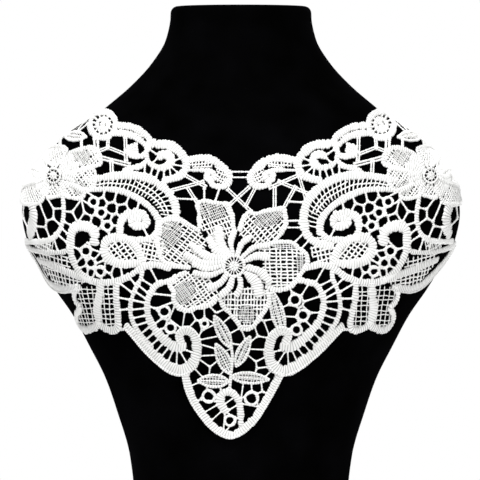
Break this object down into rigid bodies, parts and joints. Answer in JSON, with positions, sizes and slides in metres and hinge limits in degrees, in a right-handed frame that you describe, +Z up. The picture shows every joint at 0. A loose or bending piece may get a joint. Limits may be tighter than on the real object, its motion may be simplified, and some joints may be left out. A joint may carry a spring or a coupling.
{
  "type": "lace collar on a dress form",
  "caption": "White guipure lace yoke collar with a flower, scrolls and a rounded point, lying on a smooth black limbless dress form.",
  "frame": {"origin": "middle of the bounding box at the form's flat base", "axes": "+Z up through the neck, -Y towards the front of the collar, +X to the viewer's right"},
  "size_m": [0.3668, 0.1994, 0.461],
  "materials": {
    "form_velvet": "matt black velvet",
    "lace_thread": "white satin-stitch thread"
  },
  "bodies": {
    "root": {"dress_form": "form_velvet", "lace_collar": "lace_thread"}
  },
  "joints": []
}
